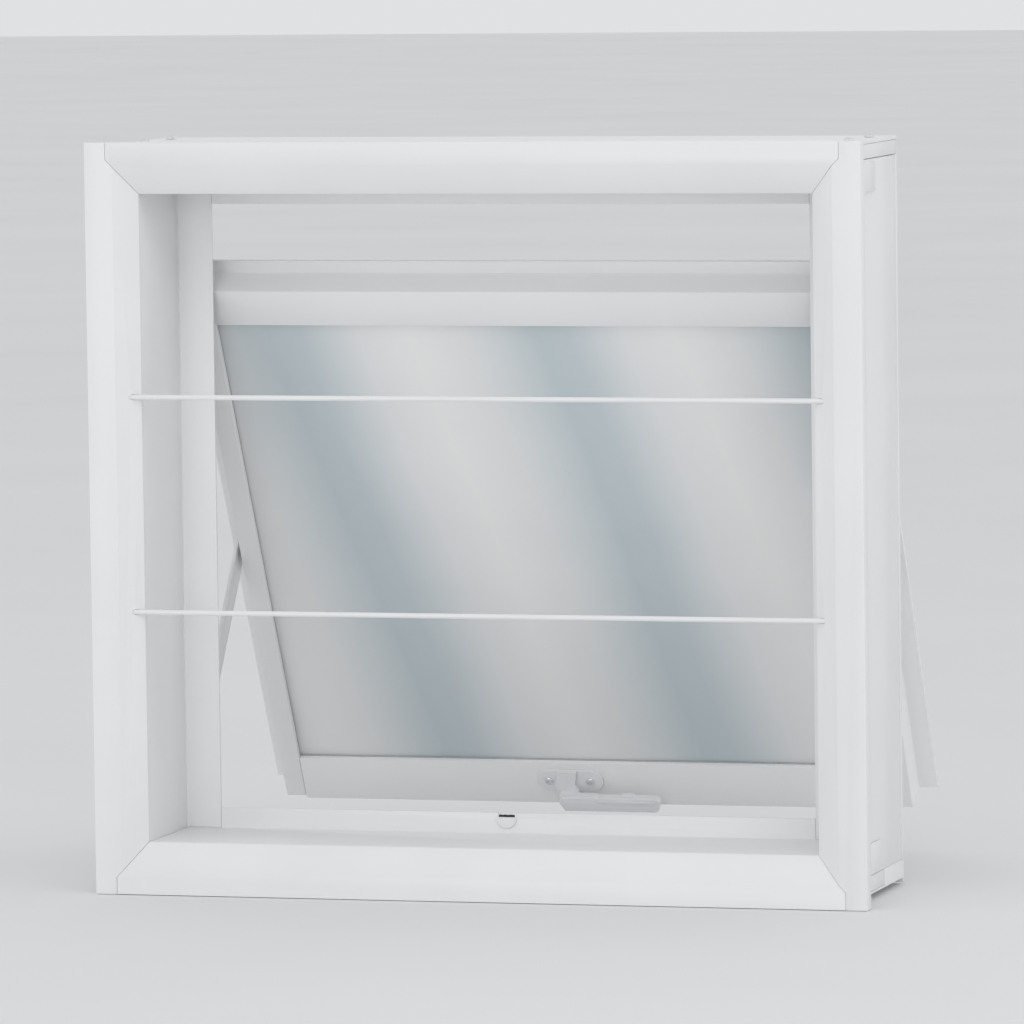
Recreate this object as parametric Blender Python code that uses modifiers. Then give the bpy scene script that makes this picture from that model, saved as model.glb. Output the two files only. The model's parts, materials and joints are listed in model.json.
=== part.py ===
"""Top-hung window of white powder-coated aluminium: frame, room-side trims, two guard bars,
projecting sash on two side stays, and a lever latch.

Metres, +Z up, +X to the right as seen from the room, +Y towards the outside.
Origin: middle of the sill's underside. Depths below are measured from the wall's room face,
and one root empty moves that plane half the frame's depth towards the room.
The sash is modelled shut and upright, then swung open on its shoe pins.
"""
import math

import bmesh
import bpy
from mathutils import Matrix, Vector

MM = 0.001
GAP = 0.3 * MM                      # clearance between pieces that touch

# Driving sizes
TRIM_W, TRIM_H = 690 * MM, 654 * MM
TRIM_BACK_DROP = 5 * MM             # how far the trims reach below the sill
TRIM_PROUD = 14 * MM
TRIM_WIDTH = 45 * MM
TRIM_FLAT_V, TRIM_FLAT_H = 25 * MM, 21 * MM
TRIM_SHEET = 1.6 * MM
BUTT_IN = 19 * MM                   # where a level trim butts on an upright one
FRAME_W, FRAME_H, FRAME_D = 662 * MM, 646 * MM, 180 * MM
REVEAL_W = 600 * MM                 # clear width between the jambs
REVEAL_Z = (40 * MM, 604 * MM)      # sill surface and head soffit
END_BLOCK = 16 * MM                 # outer height of sill and head where the jambs butt
LIP_Y = (110 * MM, 112.5 * MM)      # stop lip, front and back
LIP_HALF = 269.8 * MM               # half the opening between the jamb lips
SILL_LIP_Z, HEAD_LIP_Z = 58 * MM, 590.2 * MM
LEG = 2.5 * MM                      # wall of the frame's outer leg

SASH_W, SASH_H, SASH_T = 586 * MM, 546 * MM, 34 * MM
SASH_TOP_Z = 601 * MM               # top of the shut sash
SASH_Y = 117 * MM                   # room face of the shut sash
STILE, TOP_RAIL, BOTTOM_RAIL = 18 * MM, 35 * MM, 44 * MM
FLANGE_SIDE, FLANGE_TOP, FLANGE_LOW, FLANGE_T = 17 * MM, 12 * MM, 6 * MM, 3 * MM
POCKET = 10 * MM                    # depth of the glazing rebate
LEAF = 5 * MM                       # room-side leaf that the glass seats against
GLASS_T = 4 * MM

PIN_DROP = 6 * MM                   # shoe pin below the sash top
SASH_LINK, STAY_LINK = 277 * MM, 226 * MM
OPEN_DEG = 29.0
ARM_X = (297.5 * MM, 300.5 * MM)
ARM_HALF, BOSS_R = 11 * MM, 6 * MM
PIVOT_R, HOLE_R = 3.2 * MM, 3.5 * MM
TRACK_Z = (455 * MM, 612 * MM)
TRACK_DEPTH, TRACK_HALF, TRACK_WALL = 10 * MM, 12.5 * MM, 1.5 * MM
SHOE = (7.4 * MM, 12 * MM, 28 * MM)

BAR_R = 2.25 * MM
BAR_Z = (241 * MM, 428 * MM)
BAR_Y = -5 * MM
BAR_HALF = 318 * MM

LATCH_X, LATCH_LOW = -21 * MM, 26.5 * MM      # lever pivot: across, and above the sash's lower edge
LATCH_PITCH = 39 * MM
NOTCH_X, NOTCH_W, NOTCH_D = -8 * MM, 15 * MM, 4 * MM

OPEN = math.radians(OPEN_DEG)
STAY_OPEN = math.asin(SASH_LINK * math.sin(OPEN) / STAY_LINK)
PIN_Y = SASH_Y + SASH_T / 2
PIN_Z_SHUT = SASH_TOP_Z - PIN_DROP
STAY_Z = PIN_Z_SHUT - SASH_LINK - STAY_LINK
PIN_Z = PIN_Z_SHUT - SASH_LINK * (1 - math.cos(OPEN)) - STAY_LINK * (1 - math.cos(STAY_OPEN))
HALF_W = FRAME_W / 2
TRIM_TOP = TRIM_H - TRIM_BACK_DROP
LEG_IN = HALF_W - LEG               # inner face of the jamb's outer leg

SIDES = ((-1, "left"), (1, "right"))

for old in list(bpy.data.objects):
    bpy.data.objects.remove(old, do_unlink=True)
SCENE = bpy.context.scene
PARTS = bpy.data.collections.new("top_hung_window")
CUTTERS = bpy.data.collections.new("cutters")
SCENE.collection.children.link(PARTS)
SCENE.collection.children.link(CUTTERS)
ROOT = bpy.data.objects.new("wall_plane", None)
ROOT.location.y = -FRAME_D / 2
PARTS.objects.link(ROOT)

FINISHES = {
    "coat": ((0.86, 0.87, 0.88), 0.35, 0.0),
    "latch": ((0.78, 0.78, 0.80), 0.35, 0.2),
    "glass": ((0.62, 0.68, 0.72), 0.05, 0.0),
    "rubber": ((0.05, 0.05, 0.055), 0.8, 0.0),
    "nylon": ((0.80, 0.80, 0.78), 0.5, 0.0),
    "steel": ((0.62, 0.62, 0.63), 0.3, 1.0),
}


def material(name, finish):
    colour, rough, metal = FINISHES[finish]
    mat = bpy.data.materials.new(name)
    mat.use_nodes = True
    shader = mat.node_tree.nodes["Principled BSDF"]
    shader.inputs["Base Color"].default_value = (*colour, 1)
    shader.inputs["Roughness"].default_value = rough
    shader.inputs["Metallic"].default_value = metal
    mat.diffuse_color = (*colour, 1)
    return mat


def place(name, mesh, finish, matrix=None, parent=ROOT):
    """One named part in the parts collection."""
    obj = bpy.data.objects.new(name, mesh)
    PARTS.objects.link(obj)
    obj.data.materials.clear()
    obj.data.materials.append(material(name, finish))
    if matrix is not None:
        obj.matrix_basis = matrix
    obj.parent = parent
    return obj


def empty(name, matrix):
    obj = bpy.data.objects.new(name, None)
    PARTS.objects.link(obj)
    obj.matrix_basis = matrix
    obj.parent = ROOT
    return obj


def outline_mesh(loops, thickness):
    """Flat outline, holes after the first loop, extruded by half the thickness each way along Z."""
    curve = bpy.data.curves.new("outline", "CURVE")
    curve.dimensions, curve.fill_mode, curve.extrude = "2D", "BOTH", thickness / 2
    for loop in loops:
        spline = curve.splines.new("POLY")
        spline.points.add(len(loop) - 1)
        spline.use_cyclic_u = True
        for point, (x, y) in zip(spline.points, loop):
            point.co = (x, y, 0, 1)
    return curve_mesh(curve)


def curve_mesh(curve):
    """A curve as a closed mesh with its caps welded on."""
    guide = bpy.data.objects.new("guide", curve)
    SCENE.collection.objects.link(guide)
    graph = bpy.context.evaluated_depsgraph_get()
    mesh = bpy.data.meshes.new_from_object(guide.evaluated_get(graph))
    bpy.data.objects.remove(guide, do_unlink=True)
    bm = bmesh.new()
    bm.from_mesh(mesh)
    bmesh.ops.remove_doubles(bm, verts=bm.verts, dist=1e-6)
    bmesh.ops.recalc_face_normals(bm, faces=bm.faces)
    bm.to_mesh(mesh)
    bm.free()
    return mesh


def arc(cx, cy, r, start, end, steps):
    angles = [math.radians(start + (end - start) * i / steps) for i in range(steps + 1)]
    return [(cx + r * math.cos(a), cy + r * math.sin(a)) for a in angles]


def circle(cx, cy, r, steps=20):
    return arc(cx, cy, r, 0, 360, steps)[:-1]


def rect(x0, x1, y0, y1):
    return [(x0, y0), (x1, y0), (x1, y1), (x0, y1)]


def box_mesh(x, y, z):
    """Box between two limits on each axis."""
    bm = bmesh.new()
    bmesh.ops.create_cube(bm, size=1)
    size = Vector((x[1] - x[0], y[1] - y[0], z[1] - z[0]))
    middle = Vector((sum(x) / 2, sum(y) / 2, sum(z) / 2))
    bmesh.ops.transform(bm, matrix=Matrix.Translation(middle) @ Matrix.Diagonal((*size, 1)), verts=bm.verts)
    mesh = bpy.data.meshes.new("box")
    bm.to_mesh(mesh)
    bm.free()
    return mesh


def turned_mesh(profile, steps=20):
    """Solid of revolution about Z; the profile (radius, z) runs top to bottom."""
    mesh = bpy.data.meshes.new("profile")
    points = [(r, 0, z) for r, z in profile]
    mesh.from_pydata(points, [(i, i + 1) for i in range(len(points) - 1)], [])
    guide = bpy.data.objects.new("guide", mesh)
    SCENE.collection.objects.link(guide)
    screw = guide.modifiers.new("turn", "SCREW")
    screw.steps = screw.render_steps = steps
    screw.use_merge_vertices = True
    screw.merge_threshold = 0.00001
    graph = bpy.context.evaluated_depsgraph_get()
    solid = bpy.data.meshes.new_from_object(guide.evaluated_get(graph))
    bpy.data.objects.remove(guide, do_unlink=True)
    return solid


def cut(obj, mesh, matrix=None, operation="DIFFERENCE"):
    """Boolean with a cutter that stays in its own collection."""
    tool = bpy.data.objects.new(obj.name + "_cutter", mesh)
    CUTTERS.objects.link(tool)
    tool.hide_render = True
    tool.display_type = "WIRE"
    if matrix is not None:
        tool.matrix_basis = matrix
    tool.parent = obj.parent
    step = obj.modifiers.new("cut", "BOOLEAN")
    step.operation, step.solver, step.object = operation, "EXACT", tool


def frame_axes(x, y, z, at=(0, 0, 0)):
    """Matrix whose local axes point along the given directions."""
    turn = Matrix((x, y, z)).transposed().to_4x4()
    return Matrix.Translation(at) @ turn


def side_axes(side, at=(0, 0, 0)):
    """Local Z points outwards along side * X."""
    return frame_axes((0, 0, -side), (0, 1, 0), (side, 0, 0), at)


def pan_screw(head_r, head_h, shank_r, shank_l):
    """Screw along Z, head above zero and shank below."""
    return turned_mesh([(0, head_h), (head_r * 0.6, head_h), (head_r, head_h * 0.4), (head_r, 0),
                        (shank_r, 0), (shank_r, -shank_l), (0, -shank_l)], 14)


# ---------------------------------------------------------------- room-side trims
def trim_outline(flat):
    """Section of a trim: width from its outer edge against depth towards the room."""
    t = TRIM_SHEET
    return [(0, -GAP), (0, -TRIM_PROUD), (flat, -TRIM_PROUD), (TRIM_WIDTH, -1.5 * MM), (TRIM_WIDTH, -GAP),
            (TRIM_WIDTH - t, -GAP), (TRIM_WIDTH - t, -1.1 * MM), (flat - 0.4 * MM, t - TRIM_PROUD),
            (t, t - TRIM_PROUD), (t, -GAP)]


def corner_territory(upright, sx, top):
    """Prism over an upright trim's share of one corner, or a level trim's share."""
    shift = 0.15 * MM * (-1 if upright else 1)
    line = [(BUTT_IN, -5 * MM), (BUTT_IN, 15 * MM), (TRIM_FLAT_V, TRIM_FLAT_H),
            (TRIM_WIDTH, TRIM_WIDTH), (57.5 * MM, 60 * MM)]
    line = [(u + shift, v) for u, v in line]
    far = [(70 * MM, 60 * MM), (70 * MM, -5 * MM)] if upright else [(-5 * MM, 60 * MM), (-5 * MM, -5 * MM)]
    corner_z = TRIM_TOP if top else -TRIM_BACK_DROP
    down = -1 if top else 1
    points = [(sx * (TRIM_W / 2 - u), corner_z + down * v) for u, v in line + far]
    return outline_mesh([points], 60 * MM)


UPRIGHT_PRISM = frame_axes((1, 0, 0), (0, 0, 1), (0, -1, 0))


def trim(name, flat, upright, sign):
    length = TRIM_H if upright else TRIM_W - 2 * MM
    middle = TRIM_TOP - TRIM_H / 2
    if upright:
        axes = frame_axes((-sign, 0, 0), (0, 1, 0), (0, 0, -sign), (sign * TRIM_W / 2, 0, middle))
    else:
        edge = TRIM_TOP if sign > 0 else -TRIM_BACK_DROP
        axes = frame_axes((0, 0, -sign), (0, 1, 0), (sign, 0, 0), (0, 0, edge))
    obj = place(name, outline_mesh([trim_outline(flat)], length), "coat", axes)
    for other in (-1, 1):
        sx, top = (sign, other > 0) if upright else (other, sign > 0)
        cut(obj, corner_territory(upright, sx, top), UPRIGHT_PRISM)
    for z in BAR_Z if upright else ():
        hole = turned_mesh([(0, 30 * MM), (BAR_R + GAP, 30 * MM), (BAR_R + GAP, -30 * MM), (0, -30 * MM)])
        cut(obj, hole, side_axes(sign, (sign * 290 * MM, BAR_Y, z)))


trim("trim_left", TRIM_FLAT_V, True, -1)
trim("trim_right", TRIM_FLAT_V, True, 1)
trim("trim_top", TRIM_FLAT_H, False, 1)
trim("trim_bottom", TRIM_FLAT_H, False, -1)

for label, z in zip(("bar_lower", "bar_upper"), BAR_Z):
    rod = turned_mesh([(0, BAR_HALF), (BAR_R, BAR_HALF), (BAR_R, -BAR_HALF), (0, -BAR_HALF)], 16)
    place(label, rod, "coat", side_axes(1, (0, BAR_Y, z)))

# ---------------------------------------------------------------- frame profiles
JAMB_T = HALF_W - REVEAL_W / 2
LIP_OUT = HALF_W - LIP_HALF


def jamb(name, side):
    """Hollow jamb with its stop lip and outer leg; section is inward distance against depth."""
    low, high = END_BLOCK + GAP, FRAME_H - END_BLOCK - GAP
    groove = 1.5 * MM
    slot = (LIP_Y[0] - 5 * MM, LIP_Y[0] - 2 * MM)
    section = [(0, GAP), (JAMB_T, GAP), (JAMB_T, slot[0]), (JAMB_T - groove, slot[0]),
               (JAMB_T - groove, slot[1]), (JAMB_T, slot[1]), (JAMB_T, LIP_Y[0]), (LIP_OUT, LIP_Y[0]),
               (LIP_OUT, LIP_Y[1]),
               (LEG, LIP_Y[1]), (LEG, FRAME_D), (0, FRAME_D), (0, 174 * MM), (groove, 174 * MM),
               (groove, 168 * MM), (0, 168 * MM), (0, 20 * MM), (groove, 20 * MM), (groove, 8 * MM),
               (0, 8 * MM)]
    chamber = rect(3.5 * MM, JAMB_T - 3.2 * MM, 2.5 * MM, LIP_Y[1] - 2 * MM)
    axes = frame_axes((-side, 0, 0), (0, 1, 0), (0, 0, -side), (side * HALF_W, 0, (low + high) / 2))
    obj = place(name, outline_mesh([section, chamber], high - low), "coat", axes)
    inner = sorted((side * (REVEAL_W / 2 - GAP), side * 200 * MM))
    for z in ((0, REVEAL_Z[0] + GAP), (REVEAL_Z[1] - GAP, FRAME_H)):
        cut(obj, box_mesh(inner, (-5 * MM, 150 * MM), z))


jamb("jamb_left", -1)
jamb("jamb_right", 1)

LONG_X = frame_axes((0, 1, 0), (0, 0, 1), (1, 0, 0))


def cross_member(name, section, chamber, butt_z):
    """Sill or head along X; its ends are coped where the jambs butt."""
    obj = place(name, outline_mesh([section, chamber], FRAME_W), "coat", LONG_X)
    for side in (-1, 1):
        reveal = sorted((side * (REVEAL_W / 2 - GAP), side * (HALF_W + 5 * MM)))
        leg = sorted((side * (LEG_IN - GAP), side * (HALF_W + 5 * MM)))
        cut(obj, box_mesh(reveal, (-5 * MM, LIP_Y[1] + GAP), butt_z))
        cut(obj, box_mesh(leg, (100 * MM, FRAME_D + 5 * MM), butt_z))
        lip = sorted((side * (LIP_HALF - GAP), side * (HALF_W + 5 * MM)))
        lip_z = (REVEAL_Z[0], 100 * MM) if butt_z[0] < 100 * MM else (500 * MM, REVEAL_Z[1])
        cut(obj, box_mesh(lip, (100 * MM, LIP_Y[1] + GAP), lip_z))
    return obj


sill_section = [(GAP, 0), (177 * MM, 0), (177 * MM, -4 * MM), (FRAME_D, -4 * MM), (FRAME_D, 22 * MM),
                (174 * MM, 22 * MM), (LIP_Y[1], 36 * MM), (LIP_Y[1], SILL_LIP_Z), (LIP_Y[0], SILL_LIP_Z),
                (LIP_Y[0], REVEAL_Z[0]), (GAP, REVEAL_Z[0])]
sill = cross_member("sill_profile", sill_section, rect(2.5 * MM, 108 * MM, 2 * MM, REVEAL_Z[0] - 2 * MM),
                    (END_BLOCK, 100 * MM))
notch = (NOTCH_X - NOTCH_W / 2, NOTCH_X + NOTCH_W / 2)
cut(sill, box_mesh(notch, (105 * MM, 120 * MM), (SILL_LIP_Z - NOTCH_D, 70 * MM)))

HEAD_LOW = 618 * MM                 # underside of the head outside the lip
head_section = [(GAP, REVEAL_Z[1]), (LIP_Y[0], REVEAL_Z[1]), (LIP_Y[0], HEAD_LIP_Z),
                (LIP_Y[1], HEAD_LIP_Z), (LIP_Y[1], HEAD_LOW), (FRAME_D, HEAD_LOW), (FRAME_D, FRAME_H),
                (172 * MM, FRAME_H), (171 * MM, FRAME_H - 1 * MM), (168 * MM, FRAME_H - 1 * MM),
                (167 * MM, FRAME_H), (GAP, FRAME_H)]
head_chamber = [(2.5 * MM, 606 * MM), (110 * MM, 606 * MM), (110 * MM, 620.5 * MM), (178 * MM, 620.5 * MM),
                (178 * MM, FRAME_H - 3 * MM), (2.5 * MM, FRAME_H - 3 * MM)]
head = cross_member("head_profile", head_section, head_chamber, (500 * MM, FRAME_H - END_BLOCK))

HEAD_SCREW_Y = (66 * MM, 140 * MM)
for side, label in SIDES:
    for y, end in zip(HEAD_SCREW_Y, ("inner", "outer")):
        at = Matrix.Translation((side * (HALF_W - 15 * MM), y, FRAME_H + GAP))
        place(f"head_screw_{label}_{end}", pan_screw(4.2 * MM, 2.4 * MM, 2 * MM, 2.6 * MM), "steel", at)
        hole = turned_mesh([(0, 5 * MM), (2.3 * MM, 5 * MM), (2.3 * MM, -8 * MM), (0, -8 * MM)], 14)
        cut(head, hole, at)
    for z, end in ((END_BLOCK + 2 * MM, "low"), (FRAME_H - END_BLOCK - 28 * MM, "high")):
        x = sorted((side * (HALF_W + GAP), side * (HALF_W + GAP + 1.5 * MM)))
        place(f"corner_plate_{label}_{end}", box_mesh(x, (26 * MM, 92 * MM), (z, z + 26 * MM)), "coat")

# caps that close the open ends of the sill's and the head's chambers
CAP_IN, CAP_T = 0.3 * MM, 2 * MM
for side, label in SIDES:
    x = sorted((side * (HALF_W - CAP_IN), side * (HALF_W - CAP_IN - CAP_T)))
    sill_cap = box_mesh(x, (2.8 * MM, 107.7 * MM), (2.3 * MM, END_BLOCK - GAP))
    place("sill_end_cap_" + label, sill_cap, "coat")
    head_cap = box_mesh(x, (2.8 * MM, 177.7 * MM), (FRAME_H - END_BLOCK + GAP, FRAME_H - 3.3 * MM))
    place("head_end_cap_" + label, head_cap, "coat")

# keeper plate: half round, in front of the notch in the sill lip
KEEP_W, KEEP_LOW = 9.5 * MM, 44.5 * MM
keeper_outline = arc(0, KEEP_LOW + KEEP_W, KEEP_W, 180, 360, 14)
place("latch_keeper", outline_mesh([keeper_outline], 1.0 * MM), "latch",
      frame_axes((1, 0, 0), (0, 0, 1), (0, -1, 0), (NOTCH_X, LIP_Y[0] - GAP - 0.5 * MM, 0)))

# seal strips on the back of the stop lips
SEAL_Y = (LIP_Y[1] + GAP, SASH_Y - 2 * MM)
SEAL_IN = LIP_HALF + 7 * MM
SEAL_W = 5 * MM
seal_low, seal_high = SILL_LIP_Z - 7 * MM, HEAD_LIP_Z + 8 * MM
for side, label in SIDES:
    x = sorted((side * SEAL_IN, side * (SEAL_IN + SEAL_W)))
    place("frame_seal_" + label, box_mesh(x, SEAL_Y, (seal_low, seal_high)), "rubber")
level_x = (-SEAL_IN + GAP, SEAL_IN - GAP)
place("frame_seal_bottom", box_mesh(level_x, SEAL_Y, (seal_low, seal_low + SEAL_W)), "rubber")
place("frame_seal_top", box_mesh(level_x, SEAL_Y, (seal_high - SEAL_W, seal_high)), "rubber")


# ---------------------------------------------------------------- tracks, frame pivots and stays
def track(name, side):
    """U channel screwed to the jamb's outer leg, open towards the sash."""
    w, t, d = TRACK_HALF, TRACK_WALL, TRACK_DEPTH
    section = [(-w, 0), (w, 0), (w, d), (w - t, d), (w - t, t), (t - w, t), (t - w, d), (-w, d)]
    x = side * (LEG_IN - GAP)
    axes = frame_axes((0, 1, 0), (-side, 0, 0), (0, 0, side), (x, PIN_Y, sum(TRACK_Z) / 2))
    place(name, outline_mesh([section], TRACK_Z[1] - TRACK_Z[0]), "steel", axes)


def stay_plate(name, side):
    """Plate on the jamb with the turned pivot that the stay arm swings on."""
    x = side * (LEG_IN - GAP)
    outline = arc(0, 18 * MM, 9 * MM, 0, 180, 10) + arc(0, -18 * MM, 9 * MM, 180, 360, 10)
    plate = outline_mesh([outline], 2.4 * MM)
    at = (x - side * 1.2 * MM, PIN_Y, STAY_Z)
    obj = place(name, plate, "steel", frame_axes((0, -side, 0), (0, 0, 1), (-side, 0, 0), at))
    inner, outer = LEG_IN - ARM_X[0], LEG_IN - ARM_X[1] - 2 * GAP
    stud = turned_mesh([(0, inner + 1.2 * MM), (5 * MM, inner + 1.2 * MM), (5 * MM, inner), (PIVOT_R, inner),
                        (PIVOT_R, outer), (BOSS_R, outer), (BOSS_R, 0.5 * MM), (0, 0.5 * MM)])
    cut(obj, stud, side_axes(-side, (x, PIN_Y, STAY_Z)), "UNION")


def stay_arm(name, side):
    """Flat bar from the frame pivot up to the sash pivot, on an empty at the frame pivot."""
    hinge = Matrix.Translation((0, PIN_Y, STAY_Z)) @ Matrix.Rotation(-STAY_OPEN, 4, "X")
    pivot = empty(name + "_axis", hinge)
    outline = arc(0, STAY_LINK, ARM_HALF, 0, 180, 12) + arc(0, 0, ARM_HALF, 180, 360, 12)
    holes = [circle(0, 0, HOLE_R), circle(0, STAY_LINK, HOLE_R)]
    mesh = outline_mesh([outline] + holes, ARM_X[1] - ARM_X[0])
    at = (side * sum(ARM_X) / 2, 0, 0)
    place(name, mesh, "coat", frame_axes((0, 1, 0), (0, 0, 1), (1, 0, 0), at), pivot)


def shoe(name, side):
    """Nylon block that slides in the track; the sash's pin turns in it."""
    outline = rect(-SHOE[1] / 2, SHOE[1] / 2, -SHOE[2] / 2, SHOE[2] / 2)
    mesh = outline_mesh([outline, circle(0, 0, 3.1 * MM)], SHOE[0])
    x = side * (LEG_IN - GAP - TRACK_WALL - 0.4 * MM - SHOE[0] / 2)
    place(name, mesh, "nylon", frame_axes((0, 1, 0), (0, 0, 1), (1, 0, 0), (x, PIN_Y, PIN_Z)))


for side, label in SIDES:
    track("track_" + label, side)
    stay_plate("stay_plate_" + label, side)
    stay_arm("stay_arm_" + label, side)
    shoe("shoe_" + label, side)
    face = side * (LEG_IN - GAP - 2.4 * MM - GAP)
    for z, end in ((STAY_Z - 19 * MM, "low"), (STAY_Z + 19 * MM, "high")):
        dome = turned_mesh([(0, 1.4 * MM), (2.2 * MM, 1.4 * MM), (3.4 * MM, 0), (0, 0)], 14)
        place(f"stay_screw_{label}_{end}", dome, "steel", side_axes(-side, (face, PIN_Y, z)))

# ---------------------------------------------------------------- sash, built shut about its shoe pins
SASH = empty("sash_axis", Matrix.Translation((0, PIN_Y, PIN_Z)) @ Matrix.Rotation(OPEN, 4, "X"))
FACE = -SASH_T / 2                  # room face, sash frame
BACK = SASH_T / 2
TOP = PIN_DROP
LOW = TOP - SASH_H
STILE_LOW = LOW + 2.5 * MM
HALF_S = SASH_W / 2
GLASS_Y = (FACE + LEAF + 2 * MM, FACE + LEAF + 2 * MM + GLASS_T)
BEAD_Y = (GLASS_Y[1] + GAP, BACK - FLANGE_T - GAP)


def sash_section(width, flange):
    """Hollow body, room leaf and outer flange; section is inward distance against depth."""
    pocket = width - POCKET
    outline = [(0, FACE), (width, FACE), (width, FACE + LEAF), (pocket, FACE + LEAF), (pocket, BACK),
               (-flange, BACK), (-flange, BACK - FLANGE_T), (0, BACK - FLANGE_T)]
    chamber = rect(2 * MM, pocket - 2 * MM, FACE + 2.5 * MM, BACK - 2.5 * MM)
    return [outline, chamber]


def top_corner_cutter(keep_stile, side):
    """Prism over the far side of the top corner's mitre, seen from the piece that is kept."""
    reach, slope = 60 * MM, TOP_RAIL / STILE
    shift, far = (-0.15 * MM, 90 * MM) if keep_stile else (0.15 * MM, -90 * MM)
    line = [(shift - reach, TOP + slope * reach), (shift + reach, TOP - slope * reach)]
    line += [(far, line[1][1]), (far, line[0][1])]
    return outline_mesh([[(side * (HALF_S - u), v) for u, v in line]], 80 * MM)


def stile(name, side):
    high = TOP + FLANGE_TOP
    axes = frame_axes((-side, 0, 0), (0, 1, 0), (0, 0, -side), (side * HALF_S, 0, (STILE_LOW + high) / 2))
    loops = sash_section(STILE, FLANGE_SIDE)
    obj = place(name, outline_mesh(loops, high - STILE_LOW), "coat", axes, SASH)
    cut(obj, top_corner_cutter(True, side), UPRIGHT_PRISM)
    over = sorted((side * (HALF_S + 20 * MM), side * (HALF_S - 40 * MM)))
    cut(obj, box_mesh(over, (FACE - 5 * MM, BACK - FLANGE_T), (TOP + 0.001 * MM, high + 5 * MM)))


def rail(name, width, flange, sign, length):
    """Level sash profile along X, its outer side towards sign * Z."""
    edge = TOP if sign > 0 else LOW
    axes = frame_axes((0, 0, -sign), (0, 1, 0), (sign, 0, 0), (0, 0, edge))
    return place(name, outline_mesh(sash_section(width, flange), length), "coat", axes, SASH)


for side, label in SIDES:
    stile("sash_stile_" + label, side)
top_rail = rail("sash_top_rail", TOP_RAIL, FLANGE_TOP, 1, SASH_W + 2 * FLANGE_SIDE)
for side in (-1, 1):
    cut(top_rail, top_corner_cutter(False, side), UPRIGHT_PRISM)
rail("sash_bottom_rail", BOTTOM_RAIL, FLANGE_LOW, -1, SASH_W - 2 * STILE - 2 * GAP)

# glass in its rebate, with the inner gasket, setting blocks and outer beads
GLASS_IN = 2 * MM
glass_x = HALF_S - STILE + POCKET - GLASS_IN
glass_z = (LOW + BOTTOM_RAIL - POCKET + GLASS_IN, TOP - TOP_RAIL + POCKET - GLASS_IN)
place("glass_pane", box_mesh((-glass_x, glass_x), GLASS_Y, glass_z), "glass", None, SASH)

sight_x = HALF_S - STILE
sight_z = (LOW + BOTTOM_RAIL, TOP - TOP_RAIL)
gasket_x, gasket_z = glass_x - 0.5 * MM, (glass_z[0] + 0.5 * MM, glass_z[1] - 0.5 * MM)
ring = [rect(-gasket_x, gasket_x, *gasket_z), rect(-sight_x, sight_x, *sight_z)]
gasket_y = (FACE + LEAF + GAP, GLASS_Y[0] - GAP)
place("glazing_gasket", outline_mesh(ring, gasket_y[1] - gasket_y[0]), "rubber",
      frame_axes((1, 0, 0), (0, 0, 1), (0, -1, 0), (0, sum(gasket_y) / 2, 0)), SASH)

block_z = (glass_z[0] - GLASS_IN + GAP, glass_z[0] - GAP)
for side, label in SIDES:
    x = (side * 180 * MM - 15 * MM, side * 180 * MM + 15 * MM)
    place("setting_block_" + label, box_mesh(x, GLASS_Y, block_z), "nylon", None, SASH)

bead_x = HALF_S - STILE + POCKET - GAP
bead_z = (LOW + BOTTOM_RAIL - POCKET + GAP, TOP - TOP_RAIL + POCKET - GAP)
BEAD_W = POCKET - 0.6 * MM


def bead_section(width, depth):
    """Glazing bead with a bevelled outer arris."""
    return [(0, 0), (width, 0), (width, depth * 0.55), (width - 2.5 * MM, depth), (0, depth)]


def bead(name, along_x, sign):
    depth = BEAD_Y[1] - BEAD_Y[0]
    if along_x:
        length, edge = 2 * bead_x, bead_z[1] if sign > 0 else bead_z[0]
        axes = frame_axes((0, 0, -sign), (0, 1, 0), (sign, 0, 0), (0, BEAD_Y[0], edge))
    else:
        length = bead_z[1] - bead_z[0] - 2 * BEAD_W - 2 * GAP
        at = (sign * bead_x, BEAD_Y[0], sum(bead_z) / 2)
        axes = frame_axes((-sign, 0, 0), (0, 1, 0), (0, 0, -sign), at)
    place(name, outline_mesh([bead_section(BEAD_W, depth)], length), "coat", axes, SASH)


bead("bead_top", True, 1)
bead("bead_bottom", True, -1)
bead("bead_left", False, -1)
bead("bead_right", False, 1)

PIN_LENGTH = LEG_IN - TRACK_WALL - 2 * MM - HALF_S
for side, label in SIDES:
    at = (side * (HALF_S + GAP), 0, 0)
    pin = turned_mesh([(0, PIN_LENGTH), (2.8 * MM, PIN_LENGTH), (2.8 * MM, 1.5 * MM), (5 * MM, 1.5 * MM),
                       (5 * MM, 0), (0, 0)])
    place("shoe_pin_" + label, pin, "steel", side_axes(side, at), SASH)
    near, far = ARM_X[0] - HALF_S - 2 * GAP, ARM_X[1] - HALF_S
    stud = turned_mesh([(0, far + 1.3 * MM), (5 * MM, far + 1.3 * MM), (5 * MM, far), (PIVOT_R, far),
                        (PIVOT_R, near), (BOSS_R, near), (BOSS_R, 0), (0, 0)])
    place("stay_stud_" + label, stud, "steel", side_axes(side, (at[0], 0, -SASH_LINK)), SASH)

# ---------------------------------------------------------------- lever latch on the bottom rail
LATCH_Z = LOW + LATCH_LOW
FACING = frame_axes((1, 0, 0), (0, 0, 1), (0, -1, 0), (0, 0, 0))    # local Z towards the room
BASE_T = 3 * MM


def latch_at(proud, x=LATCH_X):
    return Matrix.Translation((x, FACE - proud, LATCH_Z)) @ FACING


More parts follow.
